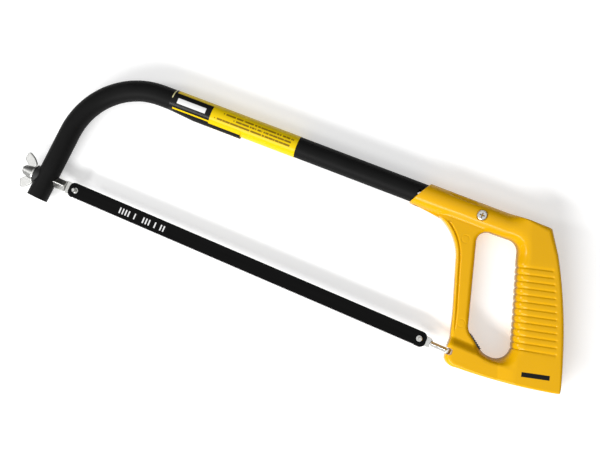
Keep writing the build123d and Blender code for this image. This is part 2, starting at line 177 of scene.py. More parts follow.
# ---------------------------------------------------------------- node helpers
class Graph:
    """Short calls for building one material's nodes."""

    def __init__(self, name, roughness=0.5, metallic=0.0, specular=0.5):
        self.material = bpy.data.materials.new(name)
        self.material.use_nodes = True
        self.nodes = self.material.node_tree.nodes
        self.links = self.material.node_tree.links
        self.shader = next(n for n in self.nodes if n.type == "BSDF_PRINCIPLED")
        self.shader.inputs["Roughness"].default_value = roughness
        self.shader.inputs["Metallic"].default_value = metallic
        self.shader.inputs["Specular IOR Level"].default_value = specular
        self.place = self.nodes.new("ShaderNodeTexCoord").outputs["Object"]

    def put(self, socket, value):
        """Link a node output to a socket, or set a plain value on it."""
        if isinstance(value, bpy.types.NodeSocket):
            self.links.new(value, socket)
        else:
            socket.default_value = value

    def math(self, operation, a, b=0.0, c=0.0, clamp=False):
        node = self.nodes.new("ShaderNodeMath")
        node.operation = operation
        node.use_clamp = clamp
        for socket, value in zip(node.inputs, (a, b, c)):
            self.put(socket, value)
        return node.outputs[0]

    def ramp(self, value, start, end):
        """0 at start to 1 at end, smooth between them."""
        node = self.nodes.new("ShaderNodeMapRange")
        node.interpolation_type = "SMOOTHSTEP"
        self.put(node.inputs["Value"], value)
        node.inputs["From Min"].default_value = start
        node.inputs["From Max"].default_value = end
        return node.outputs["Result"]

    def span(self, value, start, end, soft):
        """1 between start and end, 0 outside."""
        rise = self.ramp(value, start - soft, start + soft)
        fall = self.ramp(value, end + soft, end - soft)
        return self.math("MULTIPLY", rise, fall)

    def noise(self, scale, detail=3.0, roughness=0.5, vector=None):
        node = self.nodes.new("ShaderNodeTexNoise")
        node.inputs["Scale"].default_value = scale
        node.inputs["Detail"].default_value = detail
        node.inputs["Roughness"].default_value = roughness
        self.put(node.inputs["Vector"], vector or self.place)
        return node.outputs["Fac"]

    def stretched(self, direction, factor):
        """Object coordinates squeezed along one axis, for brushed or drawn marks."""
        node = self.nodes.new("ShaderNodeMapping")
        self.put(node.inputs["Vector"], self.place)
        scale = [1.0, 1.0, 1.0]
        scale[direction] = factor
        node.inputs["Scale"].default_value = scale
        return node.outputs["Vector"]

    def mix(self, factor, a, b):
        node = self.nodes.new("ShaderNodeMix")
        node.data_type = "RGBA"
        for index, value in ((0, factor), (6, a), (7, b)):
            if isinstance(value, tuple):
                value = (*value, 1.0)
            self.put(node.inputs[index], value)
        return node.outputs[2]

    def saw_coordinates(self):
        """Outputs for x, y and z in millimetres in the saw's frame."""
        node = self.nodes.new("ShaderNodeSeparateXYZ")
        self.put(node.inputs[0], self.place)
        found = []
        for output, start in zip(node.outputs, ORIGIN):
            shifted = self.math("SUBTRACT", output, start)
            found.append(self.math("DIVIDE", shifted, MM))
        return found

    def sideways(self, start, end):
        """1 on faces that stand upright in the row's frame, 0 on faces that lie flat."""
        split = self.nodes.new("ShaderNodeSeparateXYZ")
        self.put(split.inputs[0], self.nodes.new("ShaderNodeTexCoord").outputs["Normal"])
        return self.ramp(self.math("ABSOLUTE", split.outputs["Z"]), start, end)

    def colour(self, value):
        self.put(self.shader.inputs["Base Color"], value)

    def roughness(self, noise, low, high):
        spread = self.math("MULTIPLY_ADD", noise, high - low, low)
        self.put(self.shader.inputs["Roughness"], spread)

    def bump(self, height, distance, strength=1.0):
        node = self.nodes.new("ShaderNodeBump")
        node.inputs["Strength"].default_value = strength
        node.inputs["Distance"].default_value = distance
        self.put(node.inputs["Height"], height)
        self.put(self.shader.inputs["Normal"], node.outputs["Normal"])


def dress(thing, graph):
    """Put one material in every slot of an object."""
    thing.data.materials.clear()
    thing.data.materials.append(graph.material)


# ---------------------------------------------------------------- materials
def bar(graph, x, y, centre, size, lean, soft=0.15):
    """Mask of a straight printed bar in the saw's plane."""
    dx = graph.math("SUBTRACT", x, centre[0])
    dy = graph.math("SUBTRACT", y, centre[1])
    cos, sin = math.cos(lean), math.sin(lean)
    along = graph.math("ADD", graph.math("MULTIPLY", dx, cos), graph.math("MULTIPLY", dy, sin))
    across = graph.math("SUBTRACT", graph.math("MULTIPLY", dy, cos), graph.math("MULTIPLY", dx, sin))
    length, width = size
    inside_length = graph.span(along, -length / 2, length / 2, soft)
    inside_width = graph.span(across, -width / 2, width / 2, soft)
    return graph.math("MULTIPLY", inside_length, inside_width)


def yellow_paint():
    """Gloss paint, darkened by painted shade on its upright sides, most of all inside the hand opening."""
    graph = Graph("gloss_yellow_paint", roughness=0.3, specular=0.2)
    x, y, z = graph.saw_coordinates()
    cloud = graph.noise(45.0, 4.0, 0.55)
    grain = graph.noise(900.0, 3.0, 0.6)
    tone = graph.mix(cloud, (YELLOW[0] * 0.95, YELLOW[1] * 0.93, YELLOW[2]), YELLOW)
    # Painted shade: faces that stand upright are mixed toward a shade brown, more strongly inside the hand
    # opening
    in_opening = graph.math("MULTIPLY", graph.span(x, 306.0, 374.0, 2.0), graph.span(y, 4.0, 98.0, 2.0))
    amount = graph.math("MULTIPLY_ADD", in_opening, 0.5, 0.3)
    painted_shade = graph.math("MULTIPLY", graph.sideways(0.6, 0.15), amount)
    tone = graph.mix(painted_shade, tone, SHADE_BROWN)
    mark = bar(graph, x, y, HANDLE_BAR_CENTRE, HANDLE_BAR_SIZE, HANDLE_BAR_LEAN)
    mark = graph.math("MULTIPLY", mark, graph.ramp(z, 9.0, 9.6))
    graph.colour(graph.mix(mark, tone, (0.004, 0.004, 0.004)))
    graph.roughness(cloud, 0.2, 0.28)
    height = graph.math("ADD", graph.math("MULTIPLY", cloud, 0.6), graph.math("MULTIPLY", grain, 0.12))
    graph.bump(height, 0.0004, 0.35)
    return graph


def black_coat():
    """Powder coat of the tubes, with the film's yellow where it climbs over the bead."""
    graph = Graph("satin_black_powder_coat", roughness=0.5, specular=0.07)
    grain = graph.noise(1500.0, 2.0, 0.5)
    cloud = graph.noise(60.0, 3.0, 0.5)
    x, y, _ = graph.saw_coordinates()
    side = tube_side(graph, x, y)
    piping = graph.span(side, *LOWER_PIPING, 0.1)
    under_panel = graph.math("MULTIPLY", graph.span(x, 49.0, PANEL_END_X, 0.2), piping)
    edge = graph.ramp(side, -8.4, -8.0)
    beside_text = graph.math("MULTIPLY", graph.span(x, PANEL_END_X - 0.2, SEAM_X, 0.2), edge)
    film = graph.math("MAXIMUM", under_panel, beside_text)
    black = graph.mix(cloud, (0.006, 0.006, 0.006), (0.010, 0.010, 0.010))
    graph.colour(graph.mix(film, black, LABEL_YELLOW))
    graph.roughness(cloud, 0.46, 0.58)
    graph.bump(grain, 0.00008, 0.35)
    return graph


def tube_side(graph, x, y):
    """Height over the frame tube's upper axis, in the side view."""
    across = graph.math("SUBTRACT", y, SCREW[1])
    back = graph.math("SUBTRACT", x, SCREW[0])
    rise = graph.math("MULTIPLY", back, math.sin(TOP_RISE))
    return graph.math("SUBTRACT", graph.math("MULTIPLY", across, math.cos(TOP_RISE)), rise)


def label_film():
    """Yellow film with a black panel, a plain badge and rows of word-like bars."""
    graph = Graph("printed_label", roughness=0.3, specular=0.15)
    x, y, z = graph.saw_coordinates()
    side = tube_side(graph, x, y)
    front = graph.ramp(z, 0.0, 1.0)
    cloud = graph.noise(80.0, 3.0, 0.5)
    ground = graph.mix(cloud, (LABEL_YELLOW[0] * 0.93, LABEL_YELLOW[1] * 0.93, 0.0), LABEL_YELLOW)
    rows = 0.0
    for number, (centre, start) in enumerate(SMALL_PRINT_ROWS):
        row = graph.span(side, centre - 0.75, centre + 0.75, 0.3)
        end = SMALL_PRINT_END_X - 0.8 * number
        row = graph.math("MULTIPLY", row, graph.span(x, start + 2.2, end, 0.2))
        point = graph.math("MULTIPLY", graph.span(x, start, start + 1.0, 0.1),
                           graph.span(side, centre - 0.5, centre + 0.5, 0.1))
        rows = graph.math("ADD", rows, graph.math("ADD", row, point))
    words = graph.ramp(graph.noise(1.0, 1.0, 0.5, vector=word_vector(graph, x, side)), 0.36, 0.4)
    rows = graph.math("MULTIPLY", graph.math("MULTIPLY", rows, words), front)
    printed = graph.mix(graph.math("MULTIPLY", rows, 0.8), ground, PRINT_BROWN)
    upper = graph.ramp(side, UPPER_PIPING, UPPER_PIPING + 0.3)
    piping = graph.math("MAXIMUM", upper, graph.span(side, *LOWER_PIPING, 0.1))
    panel = graph.ramp(x, PANEL_END_X, PANEL_END_X - 0.4)
    panel = graph.math("MULTIPLY", panel, graph.math("SUBTRACT", 1.0, piping))
    panel = graph.math("MAXIMUM", panel, graph.ramp(x, PANEL_START_X, PANEL_START_X - 0.4))
    start_line = graph.math("MULTIPLY", graph.span(x, 45.2, 46.0, 0.15), graph.ramp(side, 0.0, 1.0))
    black = graph.mix(start_line, (0.008, 0.008, 0.008), (0.8, 0.75, 0.4))
    badge = graph.math("MULTIPLY", graph.span(x, *BADGE_X, 0.2), graph.span(side, *BADGE_SIDE, 0.2))
    black = graph.mix(graph.math("MULTIPLY", badge, front), black, (0.85, 0.85, 0.85))
    graph.colour(graph.mix(panel, printed, black))
    graph.roughness(cloud, 0.25, 0.36)
    graph.bump(cloud, 0.0001, 0.4)
    return graph


def word_vector(graph, x, side):
    """Coordinates in which a noise breaks printed rows into word-like bars."""
    node = graph.nodes.new("ShaderNodeCombineXYZ")
    graph.put(node.inputs[0], graph.math("MULTIPLY", x, 0.8))
    row = graph.math("FLOOR", graph.math("DIVIDE", graph.math("ADD", side, 4.0), 2.8))
    graph.put(node.inputs[1], graph.math("MULTIPLY", row, 7.3))
    return node.outputs[0]


def bright_zinc(name, roughness=0.28, tone=(0.86, 0.86, 0.83)):
    """Bright zinc plate, clouded, with a fine grain."""
    graph = Graph(name, roughness=roughness, metallic=1.0)
    cloud = graph.noise(180.0, 4.0, 0.6)
    grain = graph.noise(1400.0, 3.0, 0.6)
    dark = tuple(v * 0.8 for v in tone)
    graph.colour(graph.mix(cloud, dark, tone))
    graph.roughness(cloud, roughness * 0.75, roughness * 1.35)
    graph.bump(grain, 0.00008, 0.5)
    return graph


def screw_zinc():
    """Zinc with painted shade darkening the cross recess of the screw's head."""
    graph = bright_zinc("screw_zinc_plate")
    x, y, z = graph.saw_coordinates()
    across_x = graph.math("POWER", graph.math("SUBTRACT", x, SCREW[0]), 2.0)
    across_y = graph.math("POWER", graph.math("SUBTRACT", y, SCREW[1]), 2.0)
    near_centre = graph.ramp(graph.math("ADD", across_x, across_y), 9.5, 9.0)
    low_down = graph.span(z, SCREW_SEAT, SCREW_SEAT + 1.6, 0.1)
    recess = graph.math("MULTIPLY", low_down, near_centre)
    plated = graph.shader.inputs["Base Color"].links[0].from_socket
    # Painted shade: the low middle of the head, where the cross recess lies, is coloured near black
    graph.colour(graph.mix(recess, plated, (0.02, 0.018, 0.015)))
    return graph


def cast_zinc():
    """Duller, rougher zinc of the cast wing nut."""
    return bright_zinc("cast_zinc_plate", 0.46, (0.38, 0.38, 0.37))


def blade_enamel():
    """Black enamel with drawn streaks, bare tooth tips and plain print."""
    graph = Graph("black_blade_enamel", roughness=0.42, specular=0.03)
    x, y, z = graph.saw_coordinates()
    streak = graph.noise(300.0, 3.0, 0.5, vector=graph.stretched(0, 0.05))
    tone = graph.mix(streak, (0.004, 0.004, 0.004), (0.007, 0.007, 0.007))
    bare = graph.ramp(y, -5.5, -6.0)
    tone = graph.mix(graph.math("MULTIPLY", bare, 0.35), tone, (0.25, 0.25, 0.24))
    marks = blade_marks(graph, x, y)
    marks = graph.math("MULTIPLY", marks, graph.ramp(z, 0.5, 0.7))
    graph.colour(graph.mix(marks, tone, (0.75, 0.75, 0.75)))
    graph.roughness(streak, 0.32, 0.46)
    graph.bump(streak, 0.00006, 0.5)
    return graph


def blade_marks(graph, x, y):
    """Plain white print: a row of short upright strokes in groups."""
    along = graph.math("SUBTRACT", x, STROKE_GROUPS[0][0])
    phase = graph.math("FRACT", graph.math("DIVIDE", along, STROKE_PITCH))
    stroke = graph.span(phase, 0.2, 0.62, 0.06)
    groups = 0.0
    for start, end in STROKE_GROUPS:
        groups = graph.math("ADD", groups, graph.span(x, start, end, 0.1))
    rows = graph.span(y, *STROKE_ROWS, 0.1)
    return graph.math("MULTIPLY", graph.math("MULTIPLY", stroke, groups), rows)


def dark_rubber(name="dark_grey_moulding", tone=(0.045, 0.045, 0.042)):
    """Matt, finely grained moulding."""
    graph = Graph(name, roughness=0.6)
    cloud = graph.noise(150.0, 3.0, 0.5)
    grain = graph.noise(1800.0, 2.0, 0.5)
    graph.colour(graph.mix(cloud, tuple(v * 0.8 for v in tone), tone))
    graph.roughness(cloud, 0.5, 0.7)
    graph.bump(grain, 0.0001, 0.6)
    return graph


# ---------------------------------------------------------------- mesh helpers
def new_object(name, mesh):
    thing = bpy.data.objects.new(name, mesh)
    bpy.context.scene.collection.objects.link(thing)
    return thing


def applied(thing):
    """Mesh of an object with its modifiers applied."""
    graph = bpy.context.evaluated_depsgraph_get()
    graph.update()
    return bpy.data.meshes.new_from_object(thing.evaluated_get(graph))


def remeshed(node, name, voxel):
    """Closed, evenly meshed copy of a CAD node."""
    copy = new_object(name, frame["nodes"][node].data.copy())
    weld = copy.modifiers.new("weld", "WELD")
    weld.merge_threshold = 0.002 * MM
    remesh = copy.modifiers.new("remesh", "REMESH")
    remesh.mode = "VOXEL"
    remesh.voxel_size = voxel * MM
    mesh = applied(copy)
    copy.modifiers.clear()
    old = copy.data
    copy.data = mesh
    bpy.data.meshes.remove(old)
    mesh.shade_smooth()
    return copy


def read_points(mesh):
    """Vertices in the saw's frame, and edges, as arrays."""
    points = np.empty(len(mesh.vertices) * 3)
    mesh.vertices.foreach_get("co", points)
    edges = np.empty(len(mesh.edges) * 2, np.int64)
    mesh.edges.foreach_get("vertices", edges)
    return (points.reshape(-1, 3) - np.array(ORIGIN)) / MM, edges.reshape(-1, 2)


def write_points(mesh, points):
    mesh.vertices.foreach_set("co", (points * MM + np.array(ORIGIN)).ravel())
    mesh.update()


def smoothed(points, edges, weight, rounds):
    """Laplacian smoothing, scaled by a weight for each vertex."""
    count = np.bincount(edges.ravel(), minlength=len(points))[:, None]
    for _ in range(rounds):
        total = np.empty_like(points)
        for axis in range(3):
            left = np.bincount(edges[:, 0], points[edges[:, 1], axis], len(points))
            right = np.bincount(edges[:, 1], points[edges[:, 0], axis], len(points))
            total[:, axis] = left + right
        points = points + (total / count - points) * weight[:, None] * 0.5
    return points


def step(value, start, end):
    """Smooth step from 0 at start to 1 at end."""
    t = np.clip((value - start) / (end - start), 0.0, 1.0)
    return t * t * (3.0 - 2.0 * t)


# ---------------------------------------------------------------- handle
def arc_points(start, middle, end, count):
    """Points of the circle through three points, without the last one."""
    a, b, c = (complex(*p) for p in (start, middle, end))
    top = abs(a) ** 2 * (b - c) + abs(b) ** 2 * (c - a) + abs(c) ** 2 * (a - b)
    bottom = a.conjugate() * (b - c) + b.conjugate() * (c - a) + c.conjugate() * (a - b)
    centre = top / bottom
    turn = np.angle((c - centre) / (a - centre))
    found = centre + (a - centre) * np.exp(1j * np.linspace(0.0, turn, count, endpoint=False))
    return np.column_stack([found.real, found.imag])


def outer_loop():
    """Outer edge of the handle in the side view, once round."""
    parts = [
        [(252.4, 94.8), (262.8, 115.0), (358.6, 117.0), (360.4, 116.6)],
        arc_points((372.0, 99.3), (395.6, 50.8), (411.2, 5.0), 60),
        [(411.2, 3.6), (410.2, 2.9)],
        arc_points((409.0, 2.6), (376.9, -4.1), (332.0, -9.3), 40),
        arc_points((331.0, -9.6), (325.6, -8.5), (322.1, -5.0), 10),
        [(321.5, -1.0), (320.8, 10.6), (314.9, 30.6), (304.0, 62.4)],
        arc_points((302.4, 67.2), (292.0, 84.2), (274.0, 94.6), 40),
        [(266.0, 95.0)],
    ]
    return np.vstack([np.array(part, float) for part in parts])


def rounded_loop(corners, roundings):
    """Closed outline with an arc at each corner."""
    found = []
    for k, radius in enumerate(roundings):
        before, here, after = (np.array(corners[(k + d) % len(corners)]) for d in (-1, 0, 1))
        u = (before - here) / np.linalg.norm(before - here)
        v = (after - here) / np.linalg.norm(after - here)
        half = 0.5 * math.acos(float(u @ v))
        start, end = (here + side * radius / math.tan(half) for side in (u, v))
        middle = here + (u + v) / np.linalg.norm(u + v) * radius * (1.0 / math.sin(half) - 1.0)
        found.append(arc_points(start, middle, end, 16))
        found.append(end[None, :])
    return np.vstack(found)


def resample(loop):
    """Closed polyline cut into short equal steps."""
    closed = np.vstack([loop, loop[:1]])
    lengths = np.concatenate([[0.0], np.cumsum(np.linalg.norm(np.diff(closed, axis=0), axis=1))])
    wanted = np.linspace(0.0, lengths[-1], int(lengths[-1] / LOOP_STEP), endpoint=False)
    return np.column_stack([np.interp(wanted, lengths, closed[:, axis]) for axis in range(2)])


def nearest_marks(loop, points):
    """Index along a fine closed loop of the place nearest to each point."""
    return np.linalg.norm(loop[None] - np.array(points)[:, None], axis=2).argmin(1)


def walk(loop, marks, counts):
    """Points of a loop between marks, with a given count in each stretch."""
    total = len(loop)
    places = []
    for k, count in enumerate(counts):
        length = (marks[(k + 1) % len(marks)] - marks[k]) % total
        places.append(marks[k] + np.linspace(0.0, length, count, endpoint=False))
    places = np.concatenate(places) % total
    low = np.floor(places).astype(int)
    part = (places - low)[:, None]
    return loop[low % total] * (1.0 - part) + loop[(low + 1) % total] * part


def loop_distance(points, loop):
    """Distance of each point from a fine closed polyline."""
    found = np.empty(len(points))
    after = np.roll(loop, -1, axis=0)
    for first in range(0, len(points), 4000):
        block = points[first:first + 4000]
        nearest = ((block[:, None] - loop[None]) ** 2).sum(2).argmin(1)
        best = np.full(len(block), np.inf)
        for index in (nearest, nearest - 1):
            a, b = loop[index], after[index]
            side = b - a
            t = np.clip(((block - a) * side).sum(1) / (side ** 2).sum(1), 0.0, 1.0)
            best = np.minimum(best, np.linalg.norm(block - a - side * t[:, None], axis=1))
        found[first:first + 4000] = best
    return found


def soft_max(a, b, width):
    """Larger of two heights, with a smooth fillet where they meet."""
    t = np.clip(0.5 + 0.5 * (a - b) / width, 0.0, 1.0)
    return b + (a - b) * t + width * t * (1.0 - t) * 0.5


def edge_drop(distance, radius):
    """Fall of a rounded rim at a distance from the edge."""
    inside = np.clip(radius - distance, 0.0, radius)
    return radius - np.sqrt(np.maximum(radius ** 2 - inside ** 2, 0.0))


def above_axis(x, y):
    """Height over the frame tube's upper axis, in the side view."""
    return (y - SCREW[1]) * math.cos(TOP_RISE) - (x - SCREW[0]) * math.sin(TOP_RISE)


def left_of(x, y, start, end):
    """Signed distance to the left of the line from start to end."""
    dx, dy = end[0] - start[0], end[1] - start[1]
    return ((y - start[1]) * dx - (x - start[0]) * dy) / math.hypot(dx, dy)


def either(a, b):
    """Smooth union of two masks."""
    return a + b - a * b


def half_height(x, y):
    """Half thickness of the handle before its edges are rounded."""
    over = np.clip(above_axis(x, y), -SOCKET_RADIUS, SOCKET_RADIUS)
    socket = np.sqrt(SOCKET_RADIUS ** 2 - over ** 2)
    level = WEB_HALF + (BASE_HALF - WEB_HALF) * step(y, 12.5, 4.5)
    level = np.where(over < 0.0, level, 0.0) * step(x, 262.0, 286.0)
    body = soft_max(socket, level, 3.0)
    behind_opening = step(left_of(x, y, *GRIP_FRONT), -1.0, 1.0)
    shoulder = step(left_of(x, y, *GRIP_SHOULDER), -9.0, 9.0)
    heel = step(left_of(x, y, *GRIP_HEEL), -10.0, 7.0)
    grip = behind_opening * either(shoulder, step(y, 93.0, 80.0)) * either(heel, step(y, 13.0, 25.0))
    return body + (GRIP_HALF - body) * grip


def grid_normals(grid):
    """Outward unit normals of a grid that closes on itself both ways."""
    round_way = np.roll(grid, -1, axis=0) - np.roll(grid, 1, axis=0)
    across_way = np.roll(grid, -1, axis=1) - np.roll(grid, 1, axis=1)
    normals = np.cross(round_way, across_way)
    return normals / np.maximum(np.linalg.norm(normals, axis=2), 1e-9)[:, :, None]


def groove_relief(station):
    """Depth of the finger grooves, 0 to 1: a narrow cut with wider, softer sides."""
    relief = np.zeros_like(station)
    for number in range(GROOVE_COUNT):
        relief += 0.72 * np.exp(-((station - number) / 0.13) ** 2)
        relief += 0.28 * np.exp(-((station - number) / 0.3) ** 2)
    return relief


def handle_grid():
    """Points of the handle's whole skin, as a grid round the loop and across it."""
    names = list(STATIONS)
    inner, outer = resample(rounded_loop(OPENING_CORNERS, OPENING_ROUNDINGS)), resample(outer_loop())
    inner_marks = nearest_marks(inner, [STATIONS[n][0] for n in names])
    outer_marks = nearest_marks(outer, [STATIONS[n][1] for n in names])
    counts = []
    for k, name in enumerate(names):
        following = (k + 1) % len(names)
        inner_run = (inner_marks[following] - inner_marks[k]) % len(inner) * LOOP_STEP
        outer_run = (outer_marks[following] - outer_marks[k]) % len(outer) * LOOP_STEP
        cell = GROOVE_GRID_STEP if name == "first_groove" else GRID_STEP
        counts.append(max(4, int(max(inner_run, outer_run) / cell)))
    low_loop, high_loop = walk(inner, inner_marks, counts), walk(outer, outer_marks, counts)

    starts = np.concatenate([[0], np.cumsum(counts)])
    index = np.arange(starts[-1])
    inner_radius = np.interp(index, starts, [STATIONS[n][2] for n in names + names[:1]])
    outer_radius = np.interp(index, starts, [STATIONS[n][3] for n in names + names[:1]])
    first = starts[names.index("first_groove")]
    last = starts[names.index("last_groove")]
    station = (index - first) * (GROOVE_COUNT - 1) / (last - first)

    u = np.linspace(0.0, 1.0, GRID_ACROSS + 1)
    w = 0.45 * u + 0.275 * (1.0 - np.cos(math.pi * u))
    flat = low_loop[:, None] * (1.0 - w[None, :, None]) + high_loop[:, None] * w[None, :, None]
    places = flat.reshape(-1, 2)
    shape = flat.shape[:2]
    inner_gap = loop_distance(places, inner).reshape(shape)
    outer_gap = loop_distance(places, outer).reshape(shape)
    inner_gap[:, 0] = 0.0
    outer_gap[:, -1] = 0.0
    height = half_height(flat[:, :, 0], flat[:, :, 1])
    height = height - edge_drop(inner_gap, np.minimum(inner_radius[:, None], height - 0.4))
    room = np.maximum(height - 0.2, 0.05)
    height = height - edge_drop(outer_gap, np.clip(outer_radius[:, None], 0.05, room))
    height = np.maximum(height, 0.15)

    fade = step(outer_gap, GROOVE_END_GAP - 0.9, GROOVE_END_GAP + 0.9)
    relief = -GROOVE_DEPTH * groove_relief(station)[:, None] * fade
    rim = step(flat[:, -1, 0], 268.0, 282.0) * step(flat[:, -1, 1], 12.0, 20.0)
    rim[starts[names.index("top_front")]:starts[names.index("nose_top")]] = 0.0
    bead = 0.3 * np.exp(-((outer_gap - 1.4) / 0.7) ** 2) - 0.75 * np.exp(-((outer_gap - 3.1) / 0.55) ** 2)
    relief = relief + bead * rim[:, None]
    for centre in EJECTOR_MARKS:
        ring = np.hypot(flat[:, :, 0] - centre[0], flat[:, :, 1] - centre[1])
        relief = relief - 0.22 * np.exp(-((ring - 3.0) / 0.35) ** 2)

    wall = 1.0 - 2.0 * np.arange(1, GRID_WALL) / GRID_WALL
    columns = [np.dstack([flat, height])]
    relief_columns = [relief]
    columns.append(np.dstack([np.repeat(flat[:, -1:], len(wall), 1), height[:, -1:] * wall]))
    relief_columns.append(np.repeat(relief[:, -1:], len(wall), 1))
    columns.append(np.dstack([flat[:, ::-1], -height[:, ::-1]]))
    relief_columns.append(relief[:, ::-1])
    columns.append(np.dstack([np.repeat(flat[:, :1], len(wall), 1), -height[:, :1] * wall]))
    relief_columns.append(np.repeat(relief[:, :1], len(wall), 1))
    grid = np.concatenate(columns, axis=1)
    return grid + grid_normals(grid) * np.concatenate(relief_columns, axis=1)[:, :, None]


def torus_mesh(name, grid):
    """Mesh of a grid that closes on itself both ways, from points in the saw's frame."""
    rows, columns = grid.shape[:2]
    index = np.arange(rows * columns).reshape(rows, columns)
    right = np.roll(index, -1, axis=1)
    faces = np.stack([index, right, np.roll(right, -1, axis=0), np.roll(index, -1, axis=0)], axis=2)
    mesh = bpy.data.meshes.new(name)
    points = grid.reshape(-1, 3) * MM + np.array(ORIGIN)
    mesh.from_pydata(points.tolist(), [], faces.reshape(-1, 4)[:, ::-1].tolist())
    mesh.update()
    return mesh


def cylinder_tool(start, direction, radius, length, sides=96):
    """Closed round bar used to cut a hole, from points in the saw's frame."""
    shape = bmesh.new()
    bmesh.ops.create_cone(shape, cap_ends=True, segments=sides, radius1=radius * MM,
                          radius2=radius * MM, depth=length * MM)
    turn = Vector(direction).to_track_quat("Z", "Y").to_matrix().to_4x4()
    middle = at(*start) + Vector(direction).normalized() * length * MM / 2
    shape.transform(Matrix.Translation(middle) @ turn)
    return finished_tool(shape)


def box_tool(centre, sizes, turn=0.0, rounding=0.0):
    """Closed block used to cut a pocket, with its upright edges rounded."""
    shape = bmesh.new()
    bmesh.ops.create_cube(shape, size=MM)
    shape.transform(Matrix.Diagonal((*sizes, 1.0)))
    if rounding:
        upright = [e for e in shape.edges if abs(e.verts[0].co.z - e.verts[1].co.z) > 0.5 * sizes[2] * MM]
        bmesh.ops.bevel(shape, geom=upright, offset=rounding * MM, segments=4, profile=0.5, affect="EDGES")
    shape.transform(Matrix.Translation(at(*centre)) @ Matrix.Rotation(turn, 4, "Z"))
    return finished_tool(shape)


def finished_tool(shape):
    mesh = bpy.data.meshes.new("tool")
    bmesh.ops.recalc_face_normals(shape, faces=shape.faces)
    shape.to_mesh(mesh)
    shape.free()
    return new_object("tool", mesh)


def cut(thing, tools):
    """Subtract closed tools from an object, one after another."""
    for tool in tools:
        modifier = thing.modifiers.new("cut", "BOOLEAN")
        modifier.operation = "DIFFERENCE"
        modifier.solver = "MANIFOLD"
        modifier.object = tool
    mesh = applied(thing)
    thing.modifiers.clear()
    old = thing.data
    thing.data = mesh
    bpy.data.meshes.remove(old)
    for tool in tools:
        bpy.data.meshes.remove(tool.data)


def smooth_shaded(mesh, sharp_angle=40.0):
    """Smooth shading with sharp edges where the surface turns hard."""
    shape = bmesh.new()
    shape.from_mesh(mesh)
    limit = math.radians(sharp_angle)
    for face in shape.faces:
        face.smooth = True
    for edge in shape.edges:
        edge.smooth = edge.is_manifold and edge.calc_face_angle(0.0) < limit
    shape.to_mesh(mesh)
    shape.free()


def cast_handle():
    """Cast handle with its socket bore, screw recess, nose notch and pad pocket."""
    piece = new_object("handle_skin", torus_mesh("handle_skin", handle_grid()))
    rise = math.tan(TOP_RISE)
    along = (1.0, rise, 0.0)
    bore_start = (BORE_START_X, SCREW[1] + (BORE_START_X - SCREW[0]) * rise, 0.0)
    upward, downward = (0, 0, 1), (0, 0, -1)
    tools = [
        cylinder_tool(bore_start, along, BORE_RADIUS, BORE_END_X - BORE_START_X),
        cylinder_tool((*SCREW, SCREW_SEAT), upward, SCREW_HEAD_RADIUS, 6.0, 64),
        cylinder_tool((*SCREW, -14.0), upward, SCREW_HOLE_RADIUS, 28.0, 48),
        cylinder_tool((*SCREW, -SCREW_SEAT), downward, NUT_CORNER_RADIUS, 6.0, 6),
        box_tool(NOTCH_CENTRE, NOTCH_SIZES, 0.0, 1.6),
        cylinder_tool(LINK_PIN_FOOT, (0, 1, 0), LINK_PIN_RADIUS, LINK_PIN_LENGTH, 24),
        box_tool(PAD_CENTRE, PAD_SIZES, PAD_TURN),
    ]
    cut(piece, tools)
    smooth_shaded(piece.data)
    return piece


# ---------------------------------------------------------------- blade
def plate(name, loops, low, high):
    """Flat plate from closed outlines in the saw's plane; the first is the rim and the rest are holes."""
    curve = bpy.data.curves.new(name, "CURVE")
    curve.dimensions = "2D"
    curve.fill_mode = "BOTH"
    curve.extrude = 0.5 * (high - low) * MM
    for loop in loops:
        spline = curve.splines.new("POLY")
        spline.points.add(len(loop) - 1)
        spline.use_cyclic_u = True
        for point, (x, y) in zip(spline.points, loop):
            place = at(x, y)
            point.co = (place.x, place.y, 0.0, 1.0)
    temporary = new_object(name + "_curve", curve)
    mesh = applied(temporary)
    bpy.data.objects.remove(temporary)
    bpy.data.curves.remove(curve)
    mesh.transform(Matrix.Translation((0.0, 0.0, ORIGIN.z + 0.5 * (high + low) * MM)))
    mesh.name = name
    return mesh


def circle_loop(x, y, radius, count=40):
    angles = np.linspace(0.0, 2.0 * math.pi, count, endpoint=False)
    return [(x + radius * math.cos(a), y + radius * math.sin(a)) for a in angles]


def blade_loop():
    """Rim of the blade with a row of teeth along its lower edge."""
    pitch = 25.4 / TEETH_PER_INCH
    half = BLADE_WIDTH / 2
    left, right = -BLADE_OVERHANG, HOLE_SPACING + BLADE_OVERHANG
    r = BLADE_END_ROUNDING
    c = r * (1.0 - math.sqrt(0.5))
    loop = []
    root = -half + TOOTH_DEPTH
    for number in range(int((HOLE_SPACING - 2.0) / pitch)):
        x = 1.0 + number * pitch
        loop += [(x, root), (x + 0.12 * pitch, -half), (x + 0.3 * pitch, -half + 0.12)]
    for start, middle, end in (
        ((right - r, -half), (right - c, -half + c), (right, -half + r)),
        ((right, half - r), (right - c, half - c), (right - r, half)),
        ((left + r, half), (left + c, half - c), (left, half - r)),
        ((left, -half + r), (left + c, -half + c), (left + r, -half)),
    ):
        loop += [tuple(p) for p in arc_points(start, middle, end, 12)] + [end]
    return loop


def blade():
    """Toothed blade with a wavy set."""
    loops = [blade_loop()]
    loops += [circle_loop(x, 0.0, BLADE_HOLE_RADIUS) for x in (0.0, HOLE_SPACING)]
    mesh = plate("blade_strip", loops, BLADE_SEAT_GAP, BLADE_SEAT_GAP + BLADE_THICKNESS)
    points, _ = read_points(mesh)
    toothed = (points[:, 0] > 1.0) & (points[:, 0] < HOLE_SPACING - 1.0)
    tip = toothed * step(-points[:, 1], BLADE_WIDTH / 2 - 0.2, BLADE_WIDTH / 2 - 0.05)
    points[:, 2] += tip * WAVE_HEIGHT * np.sin(2.0 * math.pi * points[:, 0] / WAVE_LENGTH)
    write_points(mesh, points)
    smooth_shaded(mesh, 20.0)
    return new_object("blade_strip", mesh)


